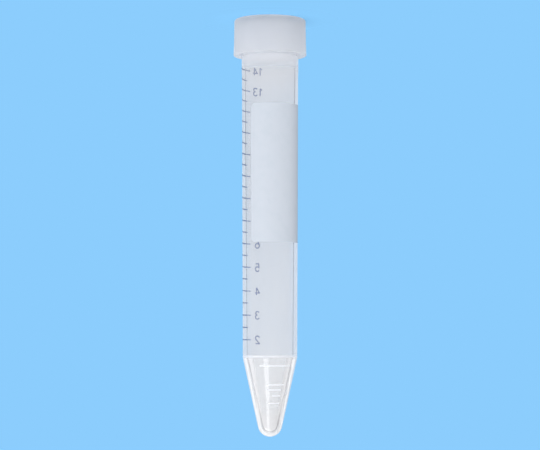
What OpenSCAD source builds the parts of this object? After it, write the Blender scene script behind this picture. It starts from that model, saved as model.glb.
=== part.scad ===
// 15 ml conical centrifuge tube with a plug-seal screw cap.
//
// Both pieces are drawn upright, with the round tip of the tube at z = 0 and
// the top of the cap at z = total_length, and are then turned over together,
// so that the closed tube stands on the flat top of its cap. The front is the
// -Y side, and angles round the tube are counted from there.

/* [Overall] */
// Closed length, from the round tip to the top of the cap
total_length = 120; // [100:1:140]

/* [Tube body] */
// Outer radius at the shoulder, where the cone begins
shoulder_r = 7.79; // [7.2:0.01:8]
// Outer radius of the body just under the collar
body_r = 8.11; // [8:0.01:8.6]
// Wall at the shoulder
shoulder_wall = 1.16; // [0.7:0.02:1.3]
// Wall just under the collar
body_wall = 0.83; // [0.7:0.01:1.2]
// How far the collar under the cap stands out from the body
collar_proud = 0.06; // [0.05:0.01:0.3]
// Length of the collar
collar_length = 4.8; // [3:0.2:8]
// Gap between the collar and the rim of the cap
collar_gap = 0.3; // [0.2:0.1:1]

/* [Cone] */
// Rounding of the shoulder, outside and inside
shoulder_round = 3; // [1:0.5:8]
// Height of the cone, from the tip to the shoulder
cone_height = 22.5; // [18:0.1:28]
// Outer radius of the round tip
tip_r = 3.5; // [2.6:0.1:4.5]
// Wall of the cone and the tip
cone_wall = 1.22; // [0.8:0.01:1.5]

/* [Moulded graduations] */
// Height of a moulded line
mark_width = 0.34; // [0.2:0.02:0.5]
// How far a moulded line stands out from the cone
mark_proud = 0.13; // [0.05:0.01:0.25]

/* [Neck] */
// How far the neck is set back from the collar
neck_step = 0.25; // [0.2:0.01:0.35]
// Wall of the neck at the mouth
neck_wall = 0.6; // [0.5:0.01:0.9]
// Rounding of the mouth's two edges
mouth_round = 0.25; // [0.1:0.05:0.35]
// Height that the screw thread takes over the neck, whose ridges are not drawn
thread_height = 0.8; // [0.5:0.05:1]

/* [Cap] */
// Height of the cap
cap_height = 10.5; // [9.5:0.1:13]
// Thickness of the cap's top
cap_top = 1.4; // [1:0.1:2]
// Wall of the skirt at the rim, inside the flare
cap_wall = 1.42; // [1.1:0.02:1.8]
// Height of the flare at the rim
flare_height = 3.4; // [1.5:0.1:4]
// How far the flare spreads beyond the skirt at the rim
flare_proud = 0.09; // [0.05:0.01:0.3]
// Draft of the skirt
cap_draft = 0.8; // [0:0.1:2]
// Rounding of the cap's upper edge
cap_round = 0.6; // [0.4:0.1:2]
// Rounding of the rim's outer edge
rim_round = 0.35; // [0.1:0.05:0.5]
// Chamfer of the rim's inner edge
rim_chamfer = 0.3; // [0.1:0.05:0.5]
// Length of the sealing plug inside the mouth
plug_length = 2.4; // [1.5:0.1:3.5]
// Wall of the sealing plug
plug_wall = 0.8; // [0.5:0.05:1.1]

/* [Clearances] */
// Between the thread's crest and the bore of the cap
thread_gap = 0.3; // [0.15:0.01:0.5]
// Between the plug and the mouth's bore
plug_gap = 0.1; // [0.05:0.01:0.3]
// Between the mouth's rim and the underside of the cap's top
seat_gap = 0.05; // [0.02:0.01:0.2]

/* [Hidden] */
$fn = 96;

// How deep an added feature reaches into the wall that carries it
bite = 0.2;

// Moulded lines on the cone: volume in ml, and the angles where a line begins
// and ends, counted from the front towards the viewer's right
MARKS = [
    [1, -24, 49],
    [0.5, -6, 38],
    [0.4, -6, 32],
    [0.3, 6, 32],
    [0.2, -6, 32],
];

// Heights, upright
cap_rim_z = total_length - cap_height;
mouth_z = total_length - cap_top - seat_gap;
collar_top_z = cap_rim_z - collar_gap;
collar_z = collar_top_z - collar_length;
tip_z = tip_r;

// Radii
collar_r = body_r + collar_proud;
neck_r = collar_r - neck_step;
mouth_r = neck_r - neck_wall;
cap_bore_r = neck_r + thread_height + thread_gap;
skirt_r = cap_bore_r + cap_wall;
rim_r = skirt_r + flare_proud;
flare_top_r = skirt_r - flare_height * tan(cap_draft);
plug_r = mouth_r - plug_gap;
skirt_top_r = skirt_r - cap_height * tan(cap_draft);

// The cone is the tangent from the shoulder's edge to the ball of the tip
cone_angle = atan2(shoulder_r, cone_height - tip_z)
    - asin(tip_r / norm([shoulder_r, cone_height - tip_z]));
cone_slope = tan(cone_angle);

// Inside: the same cone set in by its wall, then the body's bore up to the
// collar, and the mouth's own bore over that
hollow_tip_r = tip_r - cone_wall;
hollow_foot_r = hollow_tip_r * cos(cone_angle);
hollow_foot_z = tip_z - hollow_tip_r * sin(cone_angle);
bore_low_r = shoulder_r - shoulder_wall;
bore_top_r = body_r - body_wall;
bore_low_z = hollow_foot_z + (bore_low_r - hollow_foot_r) / cone_slope;

// Volume in ml that the round tip holds up to the foot of the hollow cone
dome = hollow_foot_z - tip_z + hollow_tip_r;
dome_ml = PI * dome ^ 2 * (hollow_tip_r - dome / 3) / 1000;

// Radius of the hollow cone where the tube holds a volume of ml
function level_r(ml) =
    (hollow_foot_r ^ 3 + 3 * cone_slope * (ml - dome_ml) * 1000 / PI) ^ (1 / 3);
// Height of that level, and the cone's outer radius at a height
function level_z(ml) = hollow_foot_z + (level_r(ml) - hollow_foot_r) / cone_slope;
function cone_r(z) = shoulder_r - (cone_height - z) * cone_slope;

// The outline of a ball of radius r whose centre is on the axis at height z
module half_disc(r, z)
    intersection() {
        translate([0, z]) circle(r);
        translate([0, z - r]) square([r, 2 * r]);
    }

// The sliver that rounding takes off an edge at a point, where an outline that
// comes up along the cone turns to run on to the next point
module shoulder_cut(edge, next) {
    lean = atan2(next.x - edge.x, next.y - edge.y);
    turn = (cone_angle - lean) / 2;
    run = shoulder_round * tan(turn);
    translate(edge) rotate(-(cone_angle + lean) / 2)
        difference() {
            polygon([
                [-run * sin(turn), -run * cos(turn)],
                [bite, 0],
                [-run * sin(turn), run * cos(turn)],
            ]);
            translate([-shoulder_round / cos(turn), 0]) circle(shoulder_round);
        }
}

// Half section of the tube's outside: tip, cone, body, collar and neck
module tube_outside() {
    foot_r = tip_r * cos(cone_angle);
    foot_z = tip_z - tip_r * sin(cone_angle);
    half_disc(tip_r, tip_z);
    difference() {
        polygon([
            [0, foot_z],
            [foot_r, foot_z],
            [shoulder_r, cone_height],
            [body_r, collar_z],
            [collar_r, collar_z + collar_proud],
            [collar_r, collar_top_z],
            [neck_r, collar_top_z + neck_step],
            [neck_r, mouth_z],
            [0, mouth_z],
        ]);
        shoulder_cut([shoulder_r, cone_height], [body_r, collar_z]);
    }
}

// Half section of the tube's hollow, open at the mouth
module tube_hollow() {
    half_disc(hollow_tip_r, tip_z);
    difference() {
        polygon([
            [0, hollow_foot_z],
            [hollow_foot_r, hollow_foot_z],
            [bore_low_r, bore_low_z],
            [bore_top_r, collar_z],
            [mouth_r, collar_z + collar_length],
            [mouth_r, mouth_z + bite],
            [0, mouth_z + bite],
        ]);
        shoulder_cut([bore_low_r, bore_low_z], [bore_top_r, collar_z]);
    }
}

// The corner at the origin that rounding the edge between +X and +Y removes
module edge_round(r)
    difference() {
        translate([-bite, -bite]) square(r + bite);
        translate([r, r]) circle(r);
    }

module tube_wall()
    rotate_extrude()
        difference() {
            tube_outside();
            tube_hollow();
            translate([neck_r, mouth_z]) rotate(180) edge_round(mouth_round);
            translate([mouth_r, mouth_z]) rotate(-90) edge_round(mouth_round);
        }

// One moulded line that follows the cone's slope at a height
module mark(z, from, to) {
    low = z - mark_width / 2;
    high = z + mark_width / 2;
    rotate_extrude(angle = to - from, start = from - 90)
        polygon([
            [cone_r(low) - bite, low],
            [cone_r(low) + mark_proud, low],
            [cone_r(high) + mark_proud, high],
            [cone_r(high) - bite, high],
        ]);
}

module tube_upright() {
    tube_wall();
    for (m = MARKS) mark(level_z(m[0]), m[1], m[2]);
}

// Half section of the cap's outside: flared rim, drafted skirt, round upper edge
module cap_outside() {
    round_r = skirt_top_r - cap_round;
    round_z = total_length - cap_round;
    translate([round_r, round_z]) circle(cap_round);
    difference() {
        polygon([
            [0, cap_rim_z],
            [rim_r, cap_rim_z],
            [flare_top_r, cap_rim_z + flare_height],
            [round_r + cap_round * cos(cap_draft), round_z + cap_round * sin(cap_draft)],
            [round_r, total_length],
            [0, total_length],
        ]);
        translate([rim_r, cap_rim_z]) rotate(90) edge_round(rim_round);
    }
}

// Half section of the space under the cap's top, without the plug
module cap_hollow()
    polygon([
        [0, cap_rim_z - bite],
        [cap_bore_r + rim_chamfer + bite, cap_rim_z - bite],
        [cap_bore_r, cap_rim_z + rim_chamfer],
        [cap_bore_r, total_length - cap_top],
        [0, total_length - cap_top],
    ]);

// Half section of the plug that seals the mouth, narrower at its free end
module cap_plug() {
    top = total_length - cap_top;
    polygon([
        [plug_r - plug_wall, top + bite],
        [plug_r - plug_wall, top - plug_length],
        [plug_r - plug_wall / 2, top - plug_length],
        [plug_r, top - plug_length / 2],
        [plug_r, top + bite],
    ]);
}

module cap_upright()
    rotate_extrude() {
        difference() {
            cap_outside();
            cap_hollow();
        }
        cap_plug();
    }

// Turns the upright tube over, to stand on its cap
module stand_on_cap() translate([0, 0, total_length]) rotate([0, 180, 0]) children();

module cap() color([0.88, 0.9, 0.93]) stand_on_cap() cap_upright();
module tube() color([0.85, 0.88, 0.92]) stand_on_cap() tube_upright();

cap();
tube();
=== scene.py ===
"""Dresses a 15 ml conical tube with a screw cap: finishes, prints and threads.

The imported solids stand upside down, on the flat top of the cap. The form, the
prints and the threads are given for the upright tube: a height is counted from
the round tip towards the cap, and an angle in degrees from the front, growing
to the viewer's right when the cap is up. The plastics count their heights on
the standing tube, from the cap's flat top.
"""

from __future__ import annotations

import logging
import math
from dataclasses import dataclass, field, replace
from enum import Enum
from typing import Any, Sequence, Union

import bmesh
import bpy
from mathutils import Matrix, Vector

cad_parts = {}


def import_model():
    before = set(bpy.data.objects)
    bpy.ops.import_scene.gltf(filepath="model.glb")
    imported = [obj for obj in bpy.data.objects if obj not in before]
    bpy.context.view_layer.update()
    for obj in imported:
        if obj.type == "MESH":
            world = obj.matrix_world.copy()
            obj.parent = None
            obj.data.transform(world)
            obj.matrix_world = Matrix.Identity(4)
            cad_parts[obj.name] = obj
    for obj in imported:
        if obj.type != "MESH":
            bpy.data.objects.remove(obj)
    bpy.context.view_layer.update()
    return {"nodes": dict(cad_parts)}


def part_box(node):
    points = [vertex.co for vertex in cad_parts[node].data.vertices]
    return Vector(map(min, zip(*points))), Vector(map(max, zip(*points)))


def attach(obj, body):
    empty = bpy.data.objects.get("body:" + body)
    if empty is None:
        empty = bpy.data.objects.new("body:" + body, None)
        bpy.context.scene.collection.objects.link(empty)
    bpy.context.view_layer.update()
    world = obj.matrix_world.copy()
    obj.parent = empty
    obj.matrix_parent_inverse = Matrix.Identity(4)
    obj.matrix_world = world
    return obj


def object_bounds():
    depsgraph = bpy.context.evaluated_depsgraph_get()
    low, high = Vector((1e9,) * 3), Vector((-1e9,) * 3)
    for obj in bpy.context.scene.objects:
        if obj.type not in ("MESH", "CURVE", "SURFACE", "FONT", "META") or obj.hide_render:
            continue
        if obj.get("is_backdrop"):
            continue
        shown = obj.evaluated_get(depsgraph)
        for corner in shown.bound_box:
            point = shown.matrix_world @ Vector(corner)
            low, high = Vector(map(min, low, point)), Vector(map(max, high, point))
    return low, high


LOG = logging.getLogger("conical_tube")
MM = 0.001

Colour = tuple[float, float, float]
CLEAR: Colour = (1.0, 1.0, 1.0)


def srgb(red: int, green: int, blue: int) -> Colour:
    """Turns a display colour into linear light.

    Args:
        red: Its red, from 0 to 255.
        green: Its green.
        blue: Its blue.

    Returns:
        The three channels, from 0 to 1.
    """

    def linear(channel: int) -> float:
        """Turns one channel into linear light."""
        c = channel / 255
        return c / 12.92 if c <= 0.04045 else ((c + 0.055) / 1.055) ** 2.4

    return linear(red), linear(green), linear(blue)


class Side(Enum):
    """Which way a ridge stands from the wall that carries it."""

    OUTWARD = 1
    INWARD = -1


# ---------------------------------------------------------------- shader maths


class Signal:
    """A shader socket that takes part in Python expressions."""

    def __init__(self, graph: "Graph", socket: bpy.types.NodeSocket) -> None:
        """Wraps a socket.

        Args:
            graph: The graph that the socket belongs to.
            socket: The output to wrap.
        """
        self.graph = graph
        self.socket = socket

    def _math(self, operation: str, *values: "Number") -> "Signal":
        """Adds one Math node on the values."""
        return self.graph.math(operation, *values)

    def __add__(self, other: "Number") -> "Signal":
        """self + other."""
        return self._math("ADD", self, other)

    __radd__ = __add__

    def __sub__(self, other: "Number") -> "Signal":
        """self - other."""
        return self._math("SUBTRACT", self, other)

    def __rsub__(self, other: "Number") -> "Signal":
        """other - self."""
        return self._math("SUBTRACT", other, self)

    def __mul__(self, other: "Number") -> "Signal":
        """self * other."""
        return self._math("MULTIPLY", self, other)

    __rmul__ = __mul__

    def clamped(self) -> "Signal":
        """The value kept between 0 and 1."""
        return self._math("MINIMUM", self._math("MAXIMUM", self, 0.0), 1.0)

    def ramp(self, low: float, high: float) -> "Signal":
        """A smooth step of the value.

        Args:
            low: Where the step starts.
            high: Where it ends.

        Returns:
            0 below low, 1 above high, and a smooth rise between them.
        """
        return self.graph.node(
            "ShaderNodeMapRange",
            {"interpolation_type": "SMOOTHSTEP"},
            {"Value": self, "From Min": low, "From Max": high},
        )


Number = Union[Signal, float]


class Graph:
    """The node tree of one material or world."""

    def __init__(self, tree: bpy.types.NodeTree) -> None:
        """Empties a tree and takes it over.

        Args:
            tree: The tree to fill.
        """
        self.tree = tree
        tree.nodes.clear()

    def add(
        self,
        kind: str,
        settings: dict[str, Any] | None = None,
        inputs: dict[Union[str, int], Any] | None = None,
    ) -> bpy.types.Node:
        """Adds a node.

        Args:
            kind: The node's type name.
            settings: Properties of the node, which are set before its sockets.
            inputs: Socket names or numbers, with a value or a Signal for each.

        Returns:
            The new node.
        """
        node = self.tree.nodes.new(kind)
        for name, value in (settings or {}).items():
            setattr(node, name, value)
        for name, value in (inputs or {}).items():
            self._feed(node.inputs[name], value)
        return node

    def _feed(self, socket: bpy.types.NodeSocket, value: Any) -> None:
        """Links a socket or sets its value.

        Args:
            socket: The input.
            value: A Signal, a number, a vector or a Colour.
        """
        if isinstance(value, Signal):
            self.tree.links.new(value.socket, socket)
        elif socket.type == "RGBA":
            socket.default_value = (*value, 1.0)
        else:
            socket.default_value = value

    def node(
        self,
        kind: str,
        settings: dict[str, Any] | None = None,
        inputs: dict[Union[str, int], Any] | None = None,
        output: Union[str, int] = 0,
    ) -> Signal:
        """Adds a node and wraps one of its outputs.

        Args:
            kind: The node's type name.
            settings: As for add().
            inputs: As for add().
            output: The name or number of the output.

        Returns:
            The output.
        """
        return Signal(self, self.add(kind, settings, inputs).outputs[output])

    def math(self, operation: str, *values: Number) -> Signal:
        """Adds a Math node."""
        return self.node("ShaderNodeMath", {"operation": operation}, dict(enumerate(values)))

    def blend(self, factor: Number, first: Any, second: Any, kind: str = "MIX") -> Signal:
        """Mixes two colours.

        Args:
            factor: How much of the second colour there is.
            first: A colour or a Signal.
            second: A colour or a Signal.
            kind: Name of the way of mixing.

        Returns:
            The mixed colour.
        """
        node = self.add("ShaderNodeMix", {"data_type": "RGBA", "blend_type": kind})
        sockets = [s for s in node.inputs if s.enabled]
        for socket, value in zip(sockets, (factor, first, second)):
            self._feed(socket, value)
        return Signal(self, next(s for s in node.outputs if s.enabled))

    def mix(self, share: Number, first: Signal, second: Signal) -> Signal:
        """Mixes two shaders, with a share of the second one."""
        return self.node("ShaderNodeMixShader", None, {0: share, 1: first, 2: second})

    def rays(self, *kinds: str) -> list[Signal]:
        """Tells kinds of rays apart, such as Camera or Shadow, with 1 for each kind's own."""
        path = self.add("ShaderNodeLightPath").outputs
        return [Signal(self, path[f"Is {kind} Ray"]) for kind in kinds]

    def edge_on(self) -> Signal:
        """How far a surface turns away: 0 where it is seen squarely, and 1 from the side."""
        return self.node("ShaderNodeLayerWeight", None, {"Blend": 0.5}, "Facing")

    def noise(self, scale: float, detail: float = 2.0) -> Signal:
        """Noise over the object's own coordinates, around a half.

        Args:
            scale: Waves per metre.
            detail: How many finer layers it has.

        Returns:
            The noise.
        """
        place = self.node("ShaderNodeTexCoord", output="Object")
        return self.node(
            "ShaderNodeTexNoise", None, {"Vector": place, "Scale": scale, "Detail": detail}
        )

    def finish(self, shader: Signal) -> None:
        """Joins a shader to the tree's output.

        Args:
            shader: What the material or the world shows.
        """
        kind = "ShaderNodeOutputMaterial"
        if isinstance(self.tree.id_data, bpy.types.World):
            kind = "ShaderNodeOutputWorld"
        self.add(kind, None, {"Surface": shader})


def new_material(name: str) -> tuple[bpy.types.Material, Graph]:
    """Makes an empty node material.

    Args:
        name: The material's name.

    Returns:
        The material and its graph.
    """
    material = bpy.data.materials.new(name)
    material.use_nodes = True
    return material, Graph(material.node_tree)


# -------------------------------------------------------------------- finishes


@dataclass(frozen=True)
class Cloud:
    """How much of the light each skin of a milky moulding scatters.

    `outside` holds where a skin is seen from its front, and `inside` from its
    back. `grazing` comes on top where it is seen edge on, from the first to
    the second value of `band`: 0 is seen squarely and 1 from the side. `rim`
    is the share of painted shade, a dark line along the skin's outline over
    `edge`, which stands in for the light that refraction bends away.
    """

    outside: float
    inside: float
    grazing: float = 0.0
    band: tuple[float, float] = (0.0, 1.0)
    rim: float = 0.0
    edge: tuple[float, float] = (0.78, 0.86)

    def shares(self, behind: Signal, edge_on: Signal) -> tuple[Signal, Signal]:
        """Works out what a skin with this cloud does with the light.

        Args:
            behind: 1 where the skin is seen from its back.
            edge_on: 0 where it is seen squarely, and 1 from the side.

        Returns:
            The share that it scatters, and the share of painted outline shade.
        """
        level = behind * (self.inside - self.outside) + self.outside
        # The share of painted shade: a dark line along the outline, standing in for the light
        # that refraction bends away.
        bent = edge_on.ramp(*self.edge) * self.rim
        return level + edge_on.ramp(*self.band) * self.grazing, bent


@dataclass(frozen=True)
class Stretch:
    """A length of a moulding, between two heights, with a cloud of its own.

    `fade` is the length over which each end runs out, and `tint` what the wall
    there keeps of the plastic's colour.
    """

    low: float
    high: float
    fade: float
    cloud: Cloud
    tint: Colour = CLEAR


@dataclass(frozen=True)
class MilkyPlastic:
    """A natural polyolefin moulding: glossy, and clear but for the cloud in it.

    The colour drifts from `tint` to `shade` and back. `smoke` is the colour of
    what passes straight through a skin, and `dim` the colour of the painted
    shade along its outline, a dark line that stands in for the light which
    refraction bends away. The surface ripples in waves and a fine grain, each
    given as waves per metre and finer layers.
    """

    name: str
    tint: Colour
    shade: Colour
    cloud: Cloud
    stretches: tuple[Stretch, ...]
    glow: float
    gloss: float
    roughness: float
    ripple: float
    dim: Colour = srgb(60, 25, 15)
    smoke: Colour = (0.985, 0.98, 0.975)
    passes: float = 0.6
    refraction: float = 1.49
    waves: tuple[float, float] = (90.0, 3.0)
    grain: tuple[float, float] = (2600.0, 2.0)
    drift: tuple[float, float] = (0.35, 0.65)
    wave_height: float = 6.0
    relief: float = 0.02 * MM

    def material(self) -> bpy.types.Material:
        """Builds the finish.

        Returns:
            A material whose every skin darkens along its outline by a share of
            painted shade, and scatters another share. Of the rest, the share
            `gloss` is mirrored, and what is left goes straight through. As a
            milky wall hands light on, its shadows are lighter by `passes`.
        """
        material, g = new_material(self.name)
        waves = g.noise(*self.waves)
        height = waves * self.wave_height + g.noise(*self.grain)
        bump = g.node(
            "ShaderNodeBump",
            None,
            {"Strength": self.ripple, "Distance": self.relief, "Height": height},
        )
        mirror = g.node(
            "ShaderNodeBsdfAnisotropic",
            None,
            {"Roughness": self.roughness, "Normal": bump},
        )
        straight = g.node("ShaderNodeBsdfTransparent", None, {"Color": self.smoke})
        (shadow,) = g.rays("Shadow")
        lightened = 1.0 - shadow * self.passes
        clear = g.mix(lightened * self.gloss, straight, mirror)
        cloud, rim = self._shares(g)
        wall = g.mix(cloud * lightened, clear, self._milk(g, waves, bump))
        # Painted shade: a dark filter along the outline, standing in for the light that
        # refraction bends away.
        bent = g.node("ShaderNodeBsdfTransparent", None, {"Color": self.dim})
        g.finish(g.mix(rim * lightened, wall, bent))
        return material

    def _milk(self, g: Graph, waves: Signal, bump: Signal) -> Signal:
        """The cloud itself: a lit skin, and the light that goes on into the plastic.

        Args:
            g: The material's graph.
            waves: The noise by which the colour drifts.
            bump: The rippled normal.

        Returns:
            The shader, of which `glow` goes on.
        """
        colour = g.blend(waves.ramp(*self.drift), self.tint, self.shade)
        glow = g.node("ShaderNodeBsdfTranslucent", None, {"Color": self.tint, "Normal": bump})
        for part in self.stretches:
            if part.tint == CLEAR:
                continue
            within = self._within(g, part)
            colour = g.blend(within, colour, part.tint, "MULTIPLY")
            own = tuple(base * kept for base, kept in zip(self.tint, part.tint))
            toned = g.node("ShaderNodeBsdfTranslucent", None, {"Color": own, "Normal": bump})
            glow = g.mix(within, glow, toned)
        skin = g.node(
            "ShaderNodeBsdfPrincipled",
            None,
            {
                "Base Color": colour,
                "Roughness": self.roughness,
                "IOR": self.refraction,
                "Normal": bump,
            },
        )
        return g.mix(self.glow, skin, glow)

    def _shares(self, g: Graph) -> tuple[Signal, Signal]:
        """What a skin scatters, and its painted outline shade, at each height.

        Args:
            g: The material's graph.

        Returns:
            The scattered share of the light, and the share of painted outline shade.
        """
        behind = g.node("ShaderNodeNewGeometry", output="Backfacing")
        edge_on = g.edge_on()
        scattered, bent = self.cloud.shares(behind, edge_on)
        for part in self.stretches:
            within = self._within(g, part)
            # bent here is the share of painted outline shade.
            own_scattered, own_outline_shade = part.cloud.shares(behind, edge_on)
            scattered = scattered + (own_scattered - scattered) * within
            bent = bent + (own_outline_shade - bent) * within
        return scattered.clamped(), bent

    def _within(self, g: Graph, part: Stretch) -> Signal:
        """Finds the points of a stretch.

        Args:
            g: The material's graph.
            part: The stretch.

        Returns:
            1 within the stretch, and 0 outside it.
        """
        place = g.node("ShaderNodeTexCoord", output="Object")
        height = g.node("ShaderNodeSeparateXYZ", None, {0: place}, "Z")
        half = part.fade / 2
        above = height.ramp(part.low - half, part.low + half)
        return above * (1.0 - height.ramp(part.high - half, part.high + half))


@dataclass(frozen=True)
class ScreenInk:
    """Printed ink: an even, slightly rough coat with the faint grain of the mesh.

    The colour is mottled with that of worn ink, and both noises are given as
    waves per metre and finer layers. The share `glow` of the light goes on
    through the coat, and lights its back. Seen edge on, the colour is
    multiplied by `limb`: painted shade that darkens the coat towards its
    outline.
    """

    name: str
    colour: Colour
    worn: Colour
    roughness: float
    glow: float = 0.0
    limb: Colour = srgb(222, 222, 222)
    turn: tuple[float, float] = (0.2, 1.0)
    mottle: tuple[float, float] = (420.0, 4.0)
    wear: tuple[float, float] = (0.4, 0.75)
    mesh: tuple[float, float] = (9000.0, 1.0)
    unevenness: float = 0.12
    ripple: float = 0.25
    relief: float = 0.01 * MM
    refraction: float = 1.45

    def material(self, back: bool = False) -> bpy.types.Material:
        """Builds the finish.

        Args:
            back: Whether it is for the side that lies on the wall.

        Returns:
            The material.
        """
        material, g = new_material(self.name + "_back" * back)
        mesh = g.noise(*self.mesh)
        plain = g.blend(g.noise(*self.mottle).ramp(*self.wear), self.colour, self.worn)
        bump = g.node(
            "ShaderNodeBump",
            None,
            {"Strength": self.ripple, "Distance": self.relief, "Height": mesh},
        )
        # The base colour carries painted shade: it darkens by the edge tint where the coat is
        # seen edge on.
        front = g.node(
            "ShaderNodeBsdfPrincipled",
            None,
            {
                "Base Color": g.blend(g.edge_on().ramp(*self.turn), plain, self.limb, "MULTIPLY"),
                "Roughness": self.roughness + (mesh - 0.5) * self.unevenness,
                "IOR": self.refraction,
                "Normal": bump,
            },
        )
        lit = g.node("ShaderNodeBsdfTranslucent", None, {"Color": self.colour})
        coat = g.mix(self.glow * back, front, lit)
        let_through = g.math("MAXIMUM", *g.rays("Shadow", "Diffuse")) * self.glow
        g.finish(g.mix(let_through, coat, g.node("ShaderNodeBsdfTransparent")))
        return material


@dataclass(frozen=True)
class Surroundings:
    """The pale floor and the even light behind it, both of one plain colour.

    The colour shows straight on, and behind the tube to what mirrors or bends
    the light. Elsewhere the world is a soft light of the strength `level`,
    which grows along `lean` and, by `rear`, towards the back. The floor is lit
    within `pool` of the axis. Each pair gives where a change begins and ends.
    """

    colour: Colour = srgb(140, 205, 253)
    light: Colour = srgb(240, 240, 240)
    bounce: Colour = srgb(236, 240, 245)
    level: float = 0.69
    lean: tuple[float, float, float] = (0.04, -0.2, 0.1)
    rear: float = 0.4
    backdrop_top: tuple[float, float] = (0.08, 0.25)
    backdrop_side: tuple[float, float] = (-0.2, 0.4)
    floor_half: float = 3.0
    floor_back: tuple[float, float] = (-0.1, 0.3)
    pool: tuple[float, float] = (0.002, 0.02)

    def build(self) -> None:
        """Fills the world and lays the floor."""
        self._world()
        self._floor()

    @staticmethod
    def _seen(g: Graph) -> tuple[Signal, Signal]:
        """Sorts the rays that show the surroundings from those that only light.

        Args:
            g: The graph that asks.

        Returns:
            1 for camera rays, and 1 for mirrored and refracted rays.
        """
        camera, mirrored, bent, spread = g.rays("Camera", "Glossy", "Transmission", "Diffuse")
        return camera, g.math("MAXIMUM", mirrored, bent) * (1.0 - spread)

    def _world(self) -> None:
        """Fills the world with soft light and the plain backdrop."""
        world = bpy.data.worlds.new("soft_light")
        world.use_nodes = True
        bpy.context.scene.world = world
        g = Graph(world.node_tree)
        towards = g.node("ShaderNodeTexCoord", output="Generated")
        side = g.node(
            "ShaderNodeVectorMath",
            {"operation": "DOT_PRODUCT"},
            {0: towards, 1: self.lean},
            "Value",
        )
        deep = g.node("ShaderNodeSeparateXYZ", None, {0: towards}, "Y")
        high = g.node("ShaderNodeSeparateXYZ", None, {0: towards}, "Z")
        camera, through = self._seen(g)
        behind = deep.ramp(*self.backdrop_side) * (1.0 - high.ramp(*self.backdrop_top))
        strength = side + deep.ramp(0.0, 1.0) * self.rear + self.level
        lit = g.node(
            "ShaderNodeBackground",
            None,
            {"Color": self.light, "Strength": strength},
        )
        shown = g.node("ShaderNodeBackground", None, {"Color": self.colour, "Strength": 1.0})
        g.finish(g.mix((camera + through * behind).clamped(), lit, shown))

    def _floor(self) -> None:
        """Lays the floor, which is lit near the object and even further out."""
        half = self.floor_half
        mesh = bpy.data.meshes.new("floor")
        corners = [(-half, -half, 0), (half, -half, 0), (half, half, 0), (-half, half, 0)]
        mesh.from_pydata(corners, [], [(0, 1, 2, 3)])
        floor = bpy.data.objects.new("floor", mesh)
        bpy.context.collection.objects.link(floor)
        material, g = new_material("pale_floor")
        place = g.node("ShaderNodeNewGeometry", output="Position")
        distance = g.node("ShaderNodeVectorMath", {"operation": "LENGTH"}, {0: place}, "Value")
        camera, through = self._seen(g)
        back = g.node("ShaderNodeSeparateXYZ", None, {0: place}, "Y").ramp(*self.floor_back)
        tone = g.blend(camera, self.bounce, self.colour)
        near = g.node("ShaderNodeBsdfDiffuse", None, {"Color": tone})
        far = g.node("ShaderNodeEmission", None, {"Color": self.colour, "Strength": 1.0})
        share = distance.ramp(*self.pool) * (camera + through * back).clamped()
        g.finish(g.mix(share, near, far))
        mesh.materials.append(material)
        floor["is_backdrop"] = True


# -------------------------------------------------------------------- the form


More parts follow.
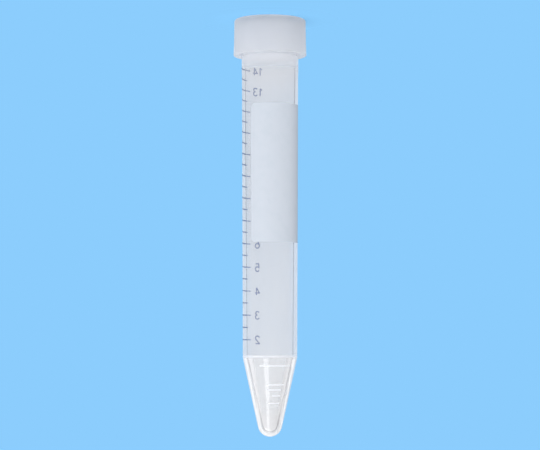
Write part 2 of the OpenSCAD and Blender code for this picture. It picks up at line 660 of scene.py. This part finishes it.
@dataclass
class TubeForm:
    """The outside and the hollow of the tube, as heights and radii."""

    total: float
    cap_rim: float
    shoulder_r: float = 7.79 * MM
    body_r: float = 8.11 * MM
    shoulder_wall: float = 1.16 * MM
    body_wall: float = 0.83 * MM
    collar_proud: float = 0.06 * MM
    collar_length: float = 4.8 * MM
    collar_gap: float = 0.3 * MM
    neck_step: float = 0.25 * MM
    thread_room: float = 1.1 * MM
    cone_height: float = 22.5 * MM
    tip_r: float = 3.5 * MM
    cone_wall: float = 1.22 * MM
    mark_proud: float = 0.13 * MM
    cone_angle: float = field(init=False)
    collar: float = field(init=False)

    def __post_init__(self) -> None:
        """Works out the slope of the cone and the foot of the collar."""
        reach = self.cone_height - self.tip_r
        self.cone_angle = math.atan2(self.shoulder_r, reach) - math.asin(
            self.tip_r / math.hypot(self.shoulder_r, reach)
        )
        self.collar = self.cap_rim - self.collar_gap - self.collar_length

    @classmethod
    def from_frame(cls) -> "TubeForm":
        """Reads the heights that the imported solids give.

        Returns:
            The form.
        """
        low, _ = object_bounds()
        cap_low, cap_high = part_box("cap")
        _, tube_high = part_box("tube")
        total = tube_high[2] - low[2]
        return cls(total, total - (cap_high[2] - cap_low[2]))

    @property
    def collar_r(self) -> float:
        """Radius of the collar."""
        return self.body_r + self.collar_proud

    @property
    def cap_bore_r(self) -> float:
        """Radius of the cap's wall between its threads."""
        return self.neck_r + self.thread_room

    @property
    def neck_r(self) -> float:
        """Radius of the neck between its threads."""
        return self.collar_r - self.neck_step

    def outer_r(self, height: float) -> float:
        """Finds the radius of the tube's outside.

        Args:
            height: The height, anywhere over the ball of the tip.

        Returns:
            The radius there.
        """
        if height < self.cone_height:
            return self.shoulder_r - (self.cone_height - height) * math.tan(self.cone_angle)
        if height > self.collar:
            rise = min(1.0, (height - self.collar) / self.collar_proud)
            return self.body_r + self.collar_proud * rise
        share = (height - self.cone_height) / (self.collar - self.cone_height)
        return self.shoulder_r + (self.body_r - self.shoulder_r) * share

    def level(self, millilitres: float) -> float:
        """Finds the height at which the tube holds a volume.

        Args:
            millilitres: The volume.

        Returns:
            The height of its surface.
        """
        volume = millilitres * 1000 * MM**3
        slope = math.tan(self.cone_angle)
        ball = self.tip_r - self.cone_wall
        foot_r = ball * math.cos(self.cone_angle)
        foot = self.tip_r - ball * math.sin(self.cone_angle)
        dome = foot - self.tip_r + ball
        low_volume = math.pi * dome**2 * (ball - dome / 3)
        low_r, low = foot_r, foot
        bore_r = self.shoulder_r - self.shoulder_wall
        full = low_volume + math.pi * (bore_r**3 - foot_r**3) / (3 * slope)
        if volume > full:
            low = foot + (bore_r - foot_r) / slope
            low_r, low_volume = bore_r, full
            slope = (self.body_r - self.body_wall - bore_r) / (self.collar - low)
        radius = (low_r**3 + 3 * slope * (volume - low_volume) / math.pi) ** (1 / 3)
        return low + (radius - low_r) / slope

    def place(self, angle: float, height: float, radius: float) -> Vector:
        """Finds a point of the standing tube.

        Args:
            angle: Degrees from the front.
            height: Height over the tip of the upright tube.
            radius: Distance from the axis.

        Returns:
            The point in the frame, where the tube stands on its cap.
        """
        a = math.radians(angle)
        return Vector((-radius * math.sin(a), -radius * math.cos(a), self.total - height))


# --------------------------------------------------------------------- meshing


def new_object(name: str, bm: bmesh.types.BMesh, smooth: bool = True) -> bpy.types.Object:
    """Turns a bmesh into an object of the scene.

    Args:
        name: The object's name.
        bm: The mesh, which is freed.
        smooth: Whether its faces are shaded smooth.

    Returns:
        The object.
    """
    bmesh.ops.recalc_face_normals(bm, faces=bm.faces)
    for face in bm.faces:
        face.smooth = smooth
    mesh = bpy.data.meshes.new(name)
    bm.to_mesh(mesh)
    bm.free()
    obj = bpy.data.objects.new(name, mesh)
    bpy.context.collection.objects.link(obj)
    return obj


@dataclass
class Wrap:
    """Lays flat artwork round the tube as a thin coat of ink."""

    form: TubeForm
    centre: float
    sunk: float = 0.04 * MM
    coat: float = 0.06 * MM
    step: float = 0.4 * MM

    def lay(self, name: str, flat: bmesh.types.BMesh) -> bpy.types.Object:
        """Wraps a flat mesh and gives it the ink's thickness.

        Args:
            name: The new object's name.
            flat: Faces in the XY plane, X to the right of the centre line as a
                reader outside the tube sees it and Y the height; freed here.

        Returns:
            A closed thin solid round the tube.
        """
        xs = [v.co.x for v in flat.verts]
        count = int((max(xs) - min(xs)) / self.step)
        for i in range(1, count + 1):
            cut = min(xs) + i * (max(xs) - min(xs)) / (count + 1)
            bmesh.ops.bisect_plane(
                flat,
                geom=flat.verts[:] + flat.edges[:] + flat.faces[:],
                plane_co=(cut, 0, 0),
                plane_no=(1, 0, 0),
            )
        bmesh.ops.triangulate(flat, faces=[f for f in flat.faces if len(f.verts) > 4])
        sheet = flat.verts[:]
        raised = bmesh.ops.extrude_face_region(flat, geom=flat.faces[:])
        top = {v for v in raised["geom"] if isinstance(v, bmesh.types.BMVert)}
        for v in [*sheet, *top]:
            depth = (self.coat if v in top else 0.0) - self.sunk
            around = self.form.outer_r(v.co.y)
            angle = self.centre + math.degrees(v.co.x / self.form.body_r)
            v.co = self.form.place(angle, v.co.y, around + depth)
        return new_object(name, flat, smooth=False)


def rectangle(
    bm: bmesh.types.BMesh, left: float, right: float, low: float, high: float
) -> None:
    """Adds a flat rectangle to a mesh."""
    corners = [(left, low), (right, low), (right, high), (left, high)]
    bm.faces.new([bm.verts.new((x, y, 0)) for x, y in corners])


# ---------------------------------------------------------------- the numbers

Point = tuple[float, float]
BOW_STEPS = 16
SAME_SPOT = 1e-9
SHARPEST_MITRE = 0.5


def bow(x: float, y: float, wide: float, tall: float, start: float, end: float) -> list[Point]:
    """Draws an arc of an ellipse.

    Args:
        x: Where its centre lies from left to right.
        y: How high its centre lies.
        wide: Half its width.
        tall: Half its height.
        start: Angle of the first point in degrees.
        end: Angle of the last one.

    Returns:
        The points.
    """
    points = []
    for i in range(BOW_STEPS + 1):
        a = math.radians(start + (end - start) * i / BOW_STEPS)
        points.append((x + wide * math.cos(a), y + tall * math.sin(a)))
    return points


# The pen's strokes in each digit, in a box of width 1 and height 1
DIGITS: dict[str, list[list[Point]]] = {
    "0": [
        bow(0.5, 0.66, 0.5, 0.34, 0, 180) + bow(0.5, 0.34, 0.5, 0.34, 180, 360) + [(1.0, 0.66)],
    ],
    "1": [[(0.62, 0.0), (0.62, 1.0)], [(0.62, 0.98), (0.2, 0.76)]],
    "2": [bow(0.5, 0.71, 0.48, 0.29, 165, -25) + [(0.04, 0.03)], [(-0.1, 0.0), (1.0, 0.0)]],
    "3": [bow(0.48, 0.765, 0.44, 0.235, 155, -90), bow(0.48, 0.265, 0.5, 0.265, 90, -155)],
    "4": [[(0.72, 0.0), (0.72, 1.0)], [(0.66, 0.96), (0.0, 0.28), (1.08, 0.28)]],
    "5": [[(0.92, 1.0), (0.16, 1.0), (0.08, 0.5)] + bow(0.5, 0.31, 0.5, 0.31, 130, -150)],
    "6": [bow(0.5, 0.3, 0.5, 0.3, 0, 360), bow(1.0, 0.3, 1.0, 0.7, 180, 105)],
    "7": [[(0.0, 1.0), (1.0, 1.0), (0.34, 0.0)]],
    "8": [bow(0.5, 0.76, 0.43, 0.24, 0, 360), bow(0.5, 0.26, 0.5, 0.26, 0, 360)],
    "9": [bow(0.5, 0.7, 0.5, 0.3, 0, 360), bow(0.0, 0.7, 1.0, 0.7, 0, -75)],
}


def stroke(bm: bmesh.types.BMesh, points: Sequence[Point], width: float) -> None:
    """Adds the flat trace of a pen to a mesh.

    Args:
        bm: The mesh.
        points: Where the pen goes; it closes a loop if it ends where it began.
        width: The width of the trace.
    """
    path = [Vector(points[0])]
    for before, here in zip(points, points[1:]):
        if math.dist(before, here) > SAME_SPOT:
            path.append(Vector(here))
    closed = (path[0] - path[-1]).length < SAME_SPOT
    if closed:
        path.pop()
    pairs = []
    for i, here in enumerate(path):
        before = path[i - 1] if closed or i > 0 else None
        after = path[(i + 1) % len(path)] if closed or i + 1 < len(path) else None
        came = (here - before).normalized() if before is not None else None
        goes = (after - here).normalized() if after is not None else came
        came = goes if came is None else came
        along = (came + goes).normalized()
        reach = width / 2 / max(SHARPEST_MITRE, along.dot(goes))
        side = Vector((-along.y, along.x)) * reach
        pairs.append([bm.verts.new((*(here + side * sign), 0.0)) for sign in (1, -1)])
    for near, far in zip(pairs, pairs[1:] + (pairs[:1] if closed else [])):
        bm.faces.new((near[0], near[1], far[1], far[0]))


# ------------------------------------------------------------------ the pieces


@dataclass
class ScrewThread:
    """One right-hand thread ridge, which fades out at both ends.

    `start`, `fade` and `step` are degrees. `profile` is the outline, as
    millimetres along the wall and shares of `rise`, and `sunk` is how far the
    ends dip into the wall.
    """

    form: TubeForm
    side: Side
    root_r: float
    first: float
    body: str
    rise: float = 0.72 * MM
    pitch: float = 3.0 * MM
    turns: float = 1.5
    fade: float = 35.0
    step: float = 4.0
    start: float = 20.0
    sunk: float = 0.02 * MM
    profile: tuple[tuple[float, float], ...] = (
        (-0.6, -0.25),
        (-0.55, 0.0),
        (-0.42, 0.22),
        (-0.28, 0.85),
        (-0.14, 1.0),
        (0.14, 1.0),
        (0.28, 0.85),
        (0.42, 0.22),
        (0.55, 0.0),
        (0.6, -0.25),
    )

    def build(self, material: bpy.types.Material) -> list[bpy.types.Object]:
        """Builds the ridge.

        Args:
            material: The plastic of the piece that carries it.

        Returns:
            The ridge, sunk a little into its wall.
        """
        bm = bmesh.new()
        count = round(360 * self.turns / self.step)
        rings = [self._ring(bm, i * self.step, count * self.step) for i in range(count + 1)]
        for near, far in zip(rings, rings[1:]):
            for i, j in zip(range(len(near)), [*range(1, len(near)), 0]):
                bm.faces.new((near[i], near[j], far[j], far[i]))
        bm.faces.new(rings[0])
        bm.faces.new(rings[-1])
        ridge = new_object(f"{self.body}_thread", bm)
        ridge.data.materials.append(material)
        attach(ridge, self.body)
        return [ridge]

    def _ring(
        self, bm: bmesh.types.BMesh, turned: float, whole: float
    ) -> list[bmesh.types.BMVert]:
        """Adds the ridge's outline at one angle.

        Args:
            bm: The mesh that takes the points.
            turned: Degrees from the ridge's first end.
            whole: Degrees from end to end.

        Returns:
            The outline's points.
        """
        ends = min(1.0, turned / self.fade, (whole - turned) / self.fade)
        share = ends * ends * (3 - 2 * ends)
        height = self.first + self.pitch * turned / 360
        points = []
        for across, out in self.profile:
            grown = out * share if out > 0 else out
            proud = self.rise * grown - self.sunk * (1 - share)
            radius = self.root_r + self.side.value * proud
            spot = self.form.place(self.start + turned, height + across * MM, radius)
            points.append(bm.verts.new(spot))
        return points


@dataclass
class PrintedScale:
    """The volume scale: a tick for every half millilitre, a number for each whole.

    `start` and the ends are the angles that the ticks lie between, and
    `stand_off` is how much further a number of two figures keeps from them.
    """

    form: TubeForm
    ink: ScreenInk
    start: float = -88.0
    long_end: float = -134.0
    short_end: float = -124.5
    number_angle: float = -152.0
    lowest: int = 2
    highest: int = 14
    line: float = 0.34 * MM
    digit: tuple[float, float] = (1.35 * MM, 2.2 * MM)
    pen: float = 0.36 * MM
    advance: float = 1.75 * MM
    stand_off: float = 0.3 * MM

    def build(self) -> list[bpy.types.Object]:
        """Builds the ticks and the numbers.

        Returns:
            The printed pieces.
        """
        pieces = [self._ticks()]
        pieces += [self._number(n) for n in range(self.lowest, self.highest + 1)]
        material = self.ink.material()
        for piece in pieces:
            piece.data.materials.append(material)
            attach(piece, "tube")
        return pieces

    def _ticks(self) -> bpy.types.Object:
        """Prints the ticks, long at whole millilitres.

        Returns:
            All ticks in one piece.
        """
        bm = bmesh.new()
        wrap = Wrap(self.form, self.start)
        for half in range(2 * self.lowest, 2 * self.highest + 1):
            end = self.short_end if half % 2 else self.long_end
            height = self.form.level(half / 2)
            reach = math.radians(end - self.start) * self.form.body_r
            rectangle(bm, reach, 0.0, height - self.line / 2, height + self.line / 2)
        return wrap.lay("scale_ticks", bm)

    def _number(self, millilitres: int) -> bpy.types.Object:
        """Prints one number, centred on its tick's height.

        Args:
            millilitres: The number.

        Returns:
            Its figures in one piece.
        """
        bm = bmesh.new()
        wide, tall = self.digit
        figures = str(millilitres)
        extra = len(figures) - 1
        low = self.form.level(millilitres) - tall / 2
        for i, figure in enumerate(figures):
            middle = (i - extra / 2) * self.advance - extra * self.stand_off
            left = middle - wide / 2
            for line in DIGITS[figure]:
                stroke(bm, [(left + x * wide, low + y * tall) for x, y in line], self.pen)
        return Wrap(self.form, self.number_angle).lay(f"scale_number_{millilitres}", bm)


@dataclass
class WritingPanel:
    """The opaque white panel to write on, with rounded corners.

    It lies between the angles `left` and `right` and the heights `low` and
    `high`.
    """

    form: TubeForm
    ink: ScreenInk
    left: float = -41.5
    right: float = 101.0
    low: float = 55.3 * MM
    high: float = 95.05 * MM
    corner: float = 1.2 * MM
    arc_steps: int = 8

    def build(self) -> list[bpy.types.Object]:
        """Builds the panel, with the ink's back on the side that lies on the wall.

        Returns:
            The panel.
        """
        bm = bmesh.new()
        bm.faces.new([bm.verts.new((x, y, 0)) for x, y in self._outline()])
        panel = Wrap(self.form, (self.left + self.right) / 2).lay("writing_panel", bm)
        panel.data.materials.append(self.ink.material())
        panel.data.materials.append(self.ink.material(back=True))
        for face in panel.data.polygons:
            face.material_index = int(face.normal.xy.dot(face.center.xy) < 0)
        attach(panel, "tube")
        return [panel]

    def _outline(self) -> list[Point]:
        """Draws the flat panel's edge.

        Returns:
            Its points, from the upper right corner on, the left way round.
        """
        half_wide = math.radians(self.right - (self.left + self.right) / 2) * self.form.body_r
        half_tall = (self.high - self.low) / 2
        middle = (self.low + self.high) / 2
        points = []
        for side_x, side_y, start in ((1, 1, 0), (-1, 1, 90), (-1, -1, 180), (1, -1, 270)):
            x = side_x * (half_wide - self.corner)
            y = middle + side_y * (half_tall - self.corner)
            for i in range(self.arc_steps + 1):
                a = math.radians(start + 90 * i / self.arc_steps)
                points.append((x + self.corner * math.cos(a), y + self.corner * math.sin(a)))
        return points


# ---------------------------------------------------------------- the plastics


class Skin(Enum):
    """The finishes of the tube, by their places on the solid."""

    WALL = 0
    BORE = 1
    LINE = 2


@dataclass(frozen=True)
class Mouldings:
    """The plastics of the tube and its cap, and where each of them lies.

    A stretch at an end of the piece runs on past it by `beyond`. A face belongs
    to the bore where it looks towards the axis by more than `inward`, and to a
    moulded line where it stands out by more than the share `raised` of a line,
    from the tip's ball to `below_shoulder` under the end of the cone.
    """

    form: TubeForm
    beyond: float = 1.0 * MM
    inward: float = 0.3
    raised: float = 0.3
    below_shoulder: float = 1.0 * MM

    @property
    def rim(self) -> float:
        """Height of the cap's rim on the standing tube."""
        return self.form.total - self.form.cap_rim

    @property
    def foot(self) -> float:
        """Height where the cone begins."""
        return self.form.total - self.form.cone_height

    @property
    def end(self) -> float:
        """A height past the tip."""
        return self.form.total + self.beyond

    def dress(self, tube: bpy.types.Object, cap: bpy.types.Object) -> None:
        """Gives both solids their finishes.

        Args:
            tube: The tube's solid.
            cap: The cap's solid.
        """
        finishes = {
            Skin.WALL: self.wall(),
            Skin.BORE: self.bore(),
            Skin.LINE: self.line(),
        }
        tube.data.materials.clear()
        for skin in Skin:
            tube.data.materials.append(finishes[skin].material())
        turn = tube.matrix_world.to_3x3()
        for face in tube.data.polygons:
            skin = self._skin(tube.matrix_world @ face.center, turn @ face.normal)
            face.material_index = skin.value
        cap.data.materials.clear()
        cap.data.materials.append(self.cap().material())

    def _skin(self, centre: Vector, normal: Vector) -> Skin:
        """Tells which finish a face of the tube has.

        Args:
            centre: The face's centre.
            normal: Where the face looks.

        Returns:
            The finish's place.
        """
        form = self.form
        height = form.total - centre.z
        outward = centre - Vector((0.0, 0.0, form.total - max(height, form.tip_r)))
        if normal.dot(outward.normalized()) < -self.inward:
            return Skin.BORE
        proud = math.hypot(centre.x, centre.y) - form.outer_r(height)
        on_cone = form.tip_r < height < form.cone_height - self.below_shoulder
        return Skin.LINE if on_cone and proud > self.raised * form.mark_proud else Skin.WALL

    def _cone(self, cloud: Cloud) -> Stretch:
        """The cone, whose thicker wall is a little warmer.

        Args:
            cloud: What the cone's skin scatters.

        Returns:
            The stretch.
        """
        return Stretch(self.foot, self.end, fade=0.5 * MM, cloud=cloud, tint=srgb(253, 251, 248))

    def wall(self) -> MilkyPlastic:
        """The tube's outside.

        Returns:
            Clear plastic that is milky at the neck and the collar: partly their
            own cloud, partly painted light that stands in for the light the cap
            passes on to them. A thin milky ring at the shoulder is a painted
            highlight, the bright line along its bend, and the cone is milky and
            whitens towards its outline.
        """
        # Painted light in part: the neck and the collar are made milkier so that they look lit by
        # what the cap passes on.
        neck = Stretch(
            low=-self.beyond,
            high=self.rim + 8.0 * MM,
            fade=11.0 * MM,
            cloud=Cloud(0.25, 0.96),
        )
        collar = Stretch(
            low=-self.beyond,
            high=self.rim + 2.4 * MM,
            fade=4.0 * MM,
            cloud=Cloud(0.85, 0.85),
        )
        thick_end = Stretch(
            low=self.form.total - 9.0 * MM,
            high=self.end,
            fade=8.0 * MM,
            cloud=Cloud(0.25, 0.85, grazing=0.65, band=(0.25, 0.4)),
        )
        # Painted highlight: a thin milky ring for the bright line along the shoulder.
        shoulder = Stretch(
            low=self.foot - 0.6 * MM,
            high=self.foot,
            fade=0.3 * MM,
            cloud=Cloud(0.95, 0.95),
        )
        cone = self._cone(Cloud(0.25, 0.85, grazing=0.6, band=(0.44, 0.58)))
        return MilkyPlastic(
            "milky_polypropylene",
            srgb(249, 251, 255),
            srgb(245, 248, 254),
            cloud=Cloud(0.15, 0.83, grazing=0.12, band=(0.3, 1.0)),
            stretches=(neck, collar, cone, thick_end, shoulder),
            glow=0.4,
            gloss=0.1,
            roughness=0.1,
            ripple=0.05,
        )

    def bore(self) -> MilkyPlastic:
        """The tube's hollow.

        Returns:
            Clear plastic with painted shade, a dark line along the outline of
            the bore, and a milky bottom.
        """
        # Each rim here is painted shade, a dark line along the bore's outline; the edge's grazing
        # cloud is a painted highlight, the bright line beside that outline.
        edge = Cloud(0.25, 0.25, grazing=0.7, band=(0.3, 0.45), rim=0.35, edge=(0.68, 0.76))
        bottom = Stretch(
            low=self.form.total - 6.0 * MM,
            high=self.end,
            fade=5.0 * MM,
            cloud=Cloud(0.9, 0.9, rim=0.5, edge=(0.45, 0.6)),
        )
        return replace(
            self.wall(),
            name="milky_bore",
            cloud=Cloud(0.07, 0.07, grazing=0.1, band=(0.3, 1.0), rim=0.5),
            stretches=(self._cone(edge), bottom),
            gloss=0.02,
        )

    def line(self) -> MilkyPlastic:
        """The raised lines, which are milky all over."""
        whole = Cloud(1.0, 1.0)
        return replace(self.wall(), name="raised_line", cloud=whole, stretches=(), glow=0.2)

    def cap(self) -> MilkyPlastic:
        """The cap.

        Returns:
            Softer, milkier plastic, with painted shade that darkens it a little
            towards the closed end.
        """
        cloud = Cloud(0.75, 0.75, grazing=0.1)
        # Painted shade: the closed end is tinted a little darker.
        shaded_end = Stretch(
            low=-3.0 * MM,
            high=3.5 * MM,
            fade=6.0 * MM,
            cloud=cloud,
            tint=srgb(250, 251, 252),
        )
        return MilkyPlastic(
            "natural_polyethylene",
            srgb(236, 238, 242),
            srgb(231, 234, 239),
            cloud=cloud,
            stretches=(shaded_end,),
            glow=0.55,
            gloss=0.1,
            roughness=0.3,
            ripple=0.3,
            passes=0.9,
        )


WHITE_INK = ScreenInk(
    "white_ink", srgb(213, 219, 228), srgb(210, 217, 226), roughness=0.5, glow=0.9
)
BLUE_INK = ScreenInk("blue_ink", srgb(26, 72, 150), srgb(34, 80, 158), roughness=0.45)


# --------------------------------------------------------------------- studio


@dataclass(frozen=True)
class Lamp:
    """One soft lamp, of a width and a height in metres and a power in watts."""

    name: str
    spot: tuple[float, float, float]
    size: tuple[float, float]
    watts: float
    gloss_alone: bool = False

    def hang(self, aim: Vector) -> None:
        """Hangs the lamp; one for the gloss alone shows only in what mirrors it.

        Args:
            aim: What it points at.
        """
        data = bpy.data.lights.new(self.name, "AREA")
        data.shape = "RECTANGLE"
        data.size, data.size_y = self.size
        data.energy = self.watts
        lamp = bpy.data.objects.new(self.name, data)
        bpy.context.collection.objects.link(lamp)
        spot = Vector(self.spot)
        lamp.location = spot
        lamp.rotation_mode = "QUATERNION"
        lamp.rotation_quaternion = (aim - spot).to_track_quat("-Z", "Y")
        lamp.visible_diffuse = not self.gloss_alone
        lamp.visible_transmission = not self.gloss_alone


@dataclass(frozen=True)
class Studio:
    """The camera, and the lamps: a key, a high fill, one to each side, two for streaks."""

    form: TubeForm
    distance: float = 567.6 * MM
    eye_depth: float = 22.8 * MM
    look_down: float = 3.805
    focal: float = 131.87
    sensor: float = 36.0
    clip: tuple[float, float] = (0.01, 20.0)
    lamps: tuple[Lamp, ...] = (
        Lamp("key", (0.17, -0.52, 0.36), (0.22, 0.2), 0.34),
        Lamp("top", (0.08, -0.12, 0.36), (0.25, 0.25), 0.5),
        Lamp("left", (0.34, 0.03, 0.27), (0.08, 0.2), 0.05),
        Lamp("left_streak", (0.265, 0.21, 0.21), (0.14, 0.18), 0.12, gloss_alone=True),
        Lamp("right", (-0.34, 0.03, 0.27), (0.08, 0.2), 0.05),
        Lamp("right_streak", (-0.265, 0.21, 0.21), (0.14, 0.18), 0.2, gloss_alone=True),
    )

    def build(self) -> None:
        """Sets the camera and hangs the lamps."""
        self._camera()
        middle = Vector((0.0, 0.0, self.form.total / 2))
        for lamp in self.lamps:
            lamp.hang(middle)

    def _camera(self) -> None:
        """Sets the camera level with the cone's foot, turned over like the tube."""
        data = bpy.data.cameras.new("camera")
        data.sensor_width = self.sensor
        data.lens = self.focal
        data.clip_start, data.clip_end = self.clip
        camera = bpy.data.objects.new("camera", data)
        bpy.context.collection.objects.link(camera)
        a = math.radians(self.look_down)
        ahead = Vector((0.0, math.cos(a), -math.sin(a)))
        up = Vector((0.0, -math.sin(a), -math.cos(a)))
        right = ahead.cross(up)
        turn = Matrix((right, up, -ahead)).transposed().to_4x4()
        eye = Vector((0.0, -self.distance, self.form.total - self.eye_depth))
        camera.matrix_world = Matrix.Translation(eye) @ turn
        bpy.context.scene.camera = camera


def main() -> None:
    """Builds the scene."""
    logging.basicConfig(level=logging.INFO, format="%(name)s: %(message)s")
    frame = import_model()
    form = TubeForm.from_frame()
    Studio(form).build()
    Surroundings().build()
    bpy.context.scene.view_settings.view_transform = "Standard"

    tube, cap = (frame["nodes"][name] for name in ("tube", "cap"))
    Mouldings(form).dress(tube, cap)
    neck_thread = ScrewThread(
        form, Side.OUTWARD, form.neck_r, form.cap_rim + 2.5 * MM, "tube"
    )
    cap_thread = ScrewThread(
        form, Side.INWARD, form.cap_bore_r, form.cap_rim + 1.0 * MM, "cap"
    )
    pieces = neck_thread.build(tube.data.materials[Skin.WALL.value])
    pieces += cap_thread.build(cap.data.materials[0])
    pieces += PrintedScale(form, BLUE_INK).build()
    pieces += WritingPanel(form, WHITE_INK).build()
    for piece in pieces:
        LOG.info("%s: %d faces", piece.name, len(piece.data.polygons))


if __name__ == "__main__":
    main()
